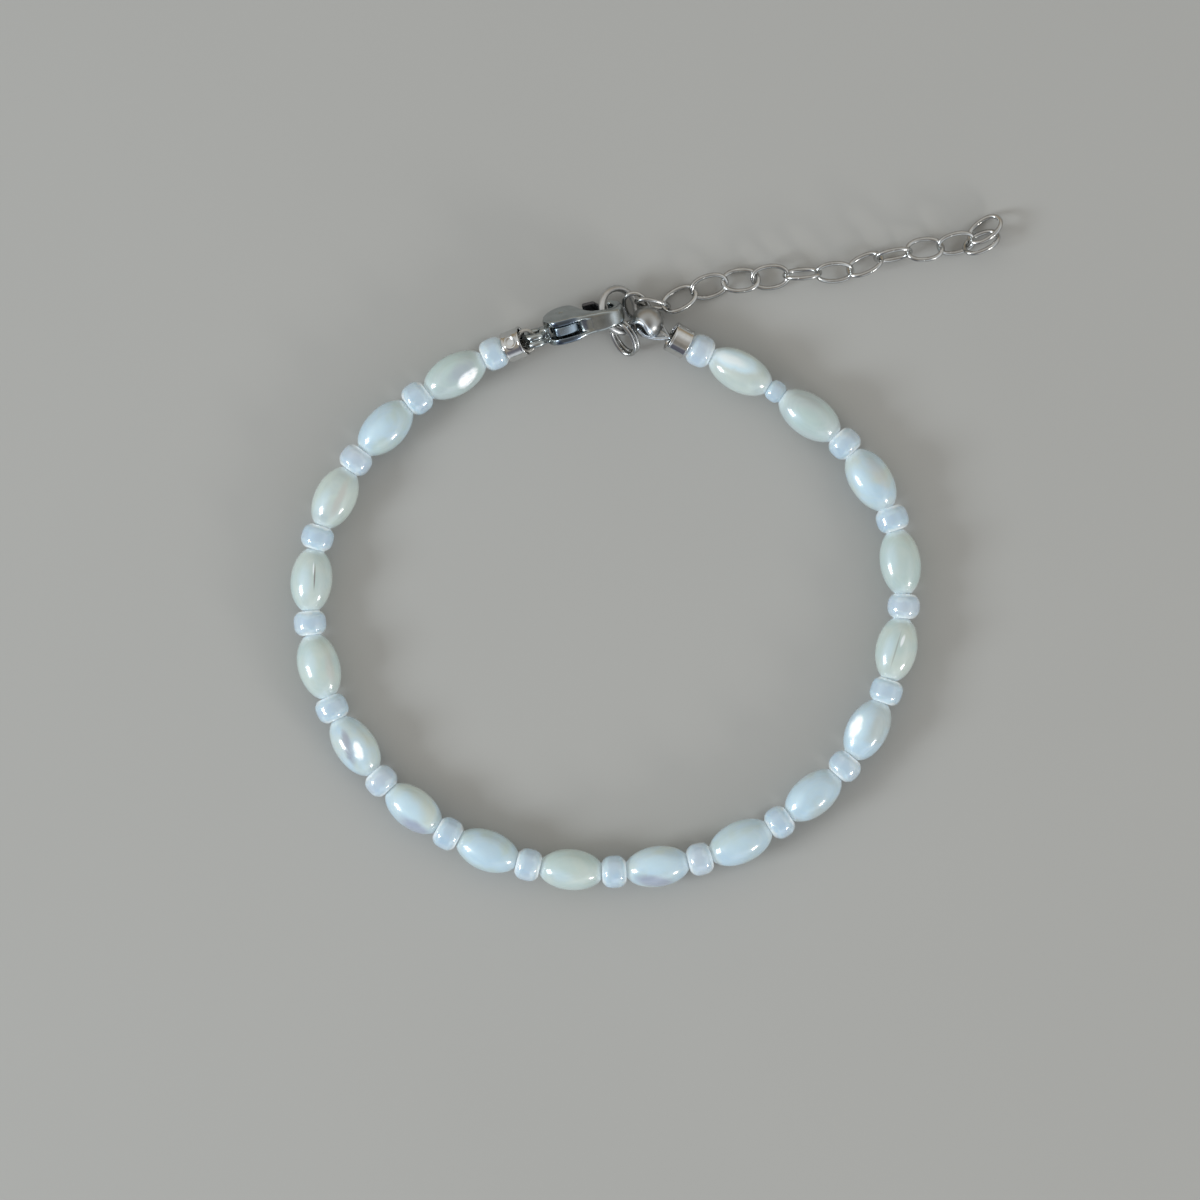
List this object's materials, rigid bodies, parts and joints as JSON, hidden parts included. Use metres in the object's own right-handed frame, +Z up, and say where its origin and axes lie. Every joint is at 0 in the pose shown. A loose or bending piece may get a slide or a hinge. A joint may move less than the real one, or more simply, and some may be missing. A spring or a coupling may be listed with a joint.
{
  "type": "bracelet",
  "caption": "Bracelet of oval mother-of-pearl beads and white lustre glass seed beads with steel end caps, a lobster clasp and an extender chain, lying closed on a surface.",
  "frame": {"origin": "centre of the bracelet's bounding box, in the plane that the beads rest on", "axes": "+Z up from the surface; +X to the right, the way the extender chain points; +Y from the wearer's hollow towards the clasp"},
  "size_m": [0.0686, 0.0652, 0.0053],
  "materials": {
    "nacre": "polished mother-of-pearl with soft green, blue and pink lustre",
    "lustre_glass": "opaque white glass with a pearly lustre",
    "polished_steel": "mirror polished",
    "clasp_steel": "tumbled satin steel",
    "chain_steel": "bright drawn wire",
    "beading_wire": "nylon-coated stranded steel wire"
  },
  "bodies": {
    "bracelet": {"bead_tip": "chain_steel", "bead_wire": "beading_wire", "cap_left": "polished_steel", "cap_right": "polished_steel", "clasp_body": "clasp_steel", "extender_1": "chain_steel", "extender_2": "chain_steel", "extender_3": "chain_steel", "link_end": "chain_steel", "link_joint": "chain_steel", "link_spare_1": "chain_steel", "link_spare_2": "chain_steel", "nacre_01": "nacre", "nacre_02": "nacre", "nacre_03": "nacre", "nacre_04": "nacre", "nacre_05": "nacre", "nacre_06": "nacre", "nacre_07": "nacre", "nacre_08": "nacre", "nacre_09": "nacre", "nacre_10": "nacre", "nacre_11": "nacre", "nacre_12": "nacre", "nacre_13": "nacre", "nacre_14": "nacre", "nacre_15": "nacre", "nacre_16": "nacre", "nacre_17": "nacre", "nacre_18": "nacre", "ring_clasp": "chain_steel", "seed_01": "lustre_glass", "seed_02": "lustre_glass", "seed_03": "lustre_glass", "seed_04": "lustre_glass", "seed_05": "lustre_glass", "seed_06": "lustre_glass", "seed_07": "lustre_glass", "seed_08": "lustre_glass", "seed_09": "lustre_glass", "seed_10": "lustre_glass", "seed_11": "lustre_glass", "seed_12": "lustre_glass", "seed_13": "lustre_glass", "seed_14": "lustre_glass", "seed_15": "lustre_glass", "seed_16": "lustre_glass", "seed_17": "lustre_glass", "seed_18": "lustre_glass", "seed_19": "lustre_glass"},
    "lever": {"clasp_lever": "clasp_steel"}
  },
  "joints": [
    {"name": "lever_open", "type": "hinge", "parent": "bracelet", "child": "lever", "pos_m": [-0.008, 0.02184, 0.00267], "axis": [0.2381, -0.9208, -0.309], "range_deg": [0, 16], "stiffness_Nm_per_rad": 0.004, "springref_deg": -17.19}
  ]
}
